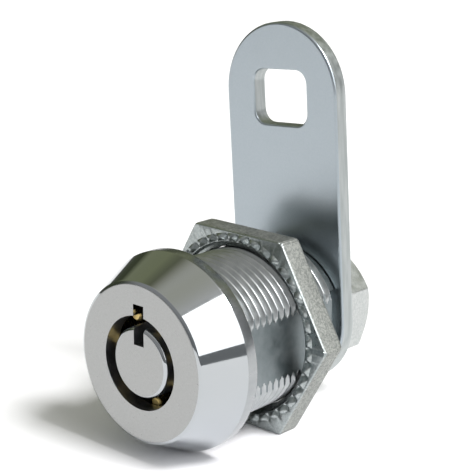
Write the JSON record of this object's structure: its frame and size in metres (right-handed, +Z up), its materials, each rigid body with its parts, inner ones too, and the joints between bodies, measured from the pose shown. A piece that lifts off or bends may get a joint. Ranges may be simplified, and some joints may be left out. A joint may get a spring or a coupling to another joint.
{
  "type": "cam lock",
  "caption": "Radial pin cam lock: conical chromed head with an annular keyway, threaded double-D body, toothed panel nut, flat cam and rear hexagon nut.",
  "frame": {"origin": "on the lock's axis, in the plane of the head's rear face that seats on the panel", "axes": "+Y along the axis from the head towards the cam, +Z up along the cam, +X to the right seen from the front"},
  "size_m": [0.0264, 0.0336, 0.0456],
  "materials": {
    "chrome_plate": "bright chrome plate over die-cast zinc, satin front face",
    "zinc_plate": "clear zinc plate with a cold blue-grey tone",
    "bright_steel": "zinc-plated turned steel",
    "brass": "turned brass",
    "spring_wire": "drawn spring wire"
  },
  "bodies": {
    "housing": {"housing": "chrome_plate", "driver_sleeve": "brass", "sleeve_pin": "bright_steel", "pin_spring_1": "spring_wire", "pin_spring_2": "spring_wire", "pin_spring_3": "spring_wire", "pin_spring_4": "spring_wire", "pin_spring_5": "spring_wire", "pin_spring_6": "spring_wire", "pin_spring_7": "spring_wire"},
    "mounting_nut": {"mounting_nut": "zinc_plate"},
    "plug": {"spindle": "chrome_plate", "stop_washer": "zinc_plate", "cam": "zinc_plate", "lock_washer": "bright_steel", "cam_nut": "bright_steel"},
    "key_pin_1": {"key_pin_1": "brass"},
    "key_pin_2": {"key_pin_2": "brass"},
    "key_pin_3": {"key_pin_3": "brass"},
    "key_pin_4": {"key_pin_4": "brass"},
    "key_pin_5": {"key_pin_5": "brass"},
    "key_pin_6": {"key_pin_6": "brass"},
    "key_pin_7": {"key_pin_7": "brass"},
    "driver_pin_1": {"driver_pin_1": "bright_steel"},
    "driver_pin_2": {"driver_pin_2": "bright_steel"},
    "driver_pin_3": {"driver_pin_3": "bright_steel"},
    "driver_pin_4": {"driver_pin_4": "bright_steel"},
    "driver_pin_5": {"driver_pin_5": "bright_steel"},
    "driver_pin_6": {"driver_pin_6": "bright_steel"},
    "driver_pin_7": {"driver_pin_7": "bright_steel"}
  },
  "joints": [
    {"name": "plug_turn", "type": "hinge", "parent": "housing", "child": "plug", "pos_m": [0, 0, 0], "axis": [0, 1, 0], "range_deg": [0, 90]},
    {"name": "nut_travel", "type": "slide", "parent": "housing", "child": "mounting_nut", "axis": [0, 1, 0], "range_m": [-0.008, 0.0034]},
    {"name": "key_pin_1_slide", "type": "slide", "parent": "plug", "child": "key_pin_1", "axis": [0, 1, 0], "range_m": [0, 0.002], "stiffness_N_per_m": 60, "springref_m": -0.003},
    {"name": "key_pin_2_slide", "type": "slide", "parent": "plug", "child": "key_pin_2", "axis": [0, 1, 0], "range_m": [0, 0.003], "stiffness_N_per_m": 60, "springref_m": -0.003},
    {"name": "key_pin_3_slide", "type": "slide", "parent": "plug", "child": "key_pin_3", "axis": [0, 1, 0], "range_m": [0, 0.0015], "stiffness_N_per_m": 60, "springref_m": -0.003},
    {"name": "key_pin_4_slide", "type": "slide", "parent": "plug", "child": "key_pin_4", "axis": [0, 1, 0], "range_m": [0, 0.0025], "stiffness_N_per_m": 60, "springref_m": -0.003},
    {"name": "key_pin_5_slide", "type": "slide", "parent": "plug", "child": "key_pin_5", "axis": [0, 1, 0], "range_m": [0, 0.0035], "stiffness_N_per_m": 60, "springref_m": -0.003},
    {"name": "key_pin_6_slide", "type": "slide", "parent": "plug", "child": "key_pin_6", "axis": [0, 1, 0], "range_m": [0, 0.001], "stiffness_N_per_m": 60, "springref_m": -0.003},
    {"name": "key_pin_7_slide", "type": "slide", "parent": "plug", "child": "key_pin_7", "axis": [0, 1, 0], "range_m": [0, 0.003], "stiffness_N_per_m": 60, "springref_m": -0.003},
    {"name": "driver_pin_1_slide", "type": "slide", "parent": "housing", "child": "driver_pin_1", "axis": [0, 1, 0], "range_m": [0, 0.002], "stiffness_N_per_m": 150, "springref_m": -0.003, "deforming": ["pin_spring_1"]},
    {"name": "driver_pin_2_slide", "type": "slide", "parent": "housing", "child": "driver_pin_2", "axis": [0, 1, 0], "range_m": [0, 0.002], "stiffness_N_per_m": 150, "springref_m": -0.003, "deforming": ["pin_spring_2"]},
    {"name": "driver_pin_3_slide", "type": "slide", "parent": "housing", "child": "driver_pin_3", "axis": [0, 1, 0], "range_m": [0, 0.002], "stiffness_N_per_m": 150, "springref_m": -0.003, "deforming": ["pin_spring_3"]},
    {"name": "driver_pin_4_slide", "type": "slide", "parent": "housing", "child": "driver_pin_4", "axis": [0, 1, 0], "range_m": [0, 0.002], "stiffness_N_per_m": 150, "springref_m": -0.003, "deforming": ["pin_spring_4"]},
    {"name": "driver_pin_5_slide", "type": "slide", "parent": "housing", "child": "driver_pin_5", "axis": [0, 1, 0], "range_m": [0, 0.002], "stiffness_N_per_m": 150, "springref_m": -0.003, "deforming": ["pin_spring_5"]},
    {"name": "driver_pin_6_slide", "type": "slide", "parent": "housing", "child": "driver_pin_6", "axis": [0, 1, 0], "range_m": [0, 0.002], "stiffness_N_per_m": 150, "springref_m": -0.003, "deforming": ["pin_spring_6"]},
    {"name": "driver_pin_7_slide", "type": "slide", "parent": "housing", "child": "driver_pin_7", "axis": [0, 1, 0], "range_m": [0, 0.002], "stiffness_N_per_m": 150, "springref_m": -0.003, "deforming": ["pin_spring_7"]}
  ],
  "couplings": [
    {"joint": "key_pin_2_slide", "follows": "key_pin_1_slide", "ratio": 1.5},
    {"joint": "key_pin_3_slide", "follows": "key_pin_1_slide", "ratio": 0.75},
    {"joint": "key_pin_4_slide", "follows": "key_pin_1_slide", "ratio": 1.25},
    {"joint": "key_pin_5_slide", "follows": "key_pin_1_slide", "ratio": 1.75},
    {"joint": "key_pin_6_slide", "follows": "key_pin_1_slide", "ratio": 0.5},
    {"joint": "key_pin_7_slide", "follows": "key_pin_1_slide", "ratio": 1.5},
    {"joint": "driver_pin_2_slide", "follows": "driver_pin_1_slide", "ratio": 1},
    {"joint": "driver_pin_3_slide", "follows": "driver_pin_1_slide", "ratio": 1},
    {"joint": "driver_pin_4_slide", "follows": "driver_pin_1_slide", "ratio": 1},
    {"joint": "driver_pin_5_slide", "follows": "driver_pin_1_slide", "ratio": 1},
    {"joint": "driver_pin_6_slide", "follows": "driver_pin_1_slide", "ratio": 1},
    {"joint": "driver_pin_7_slide", "follows": "driver_pin_1_slide", "ratio": 1}
  ]
}
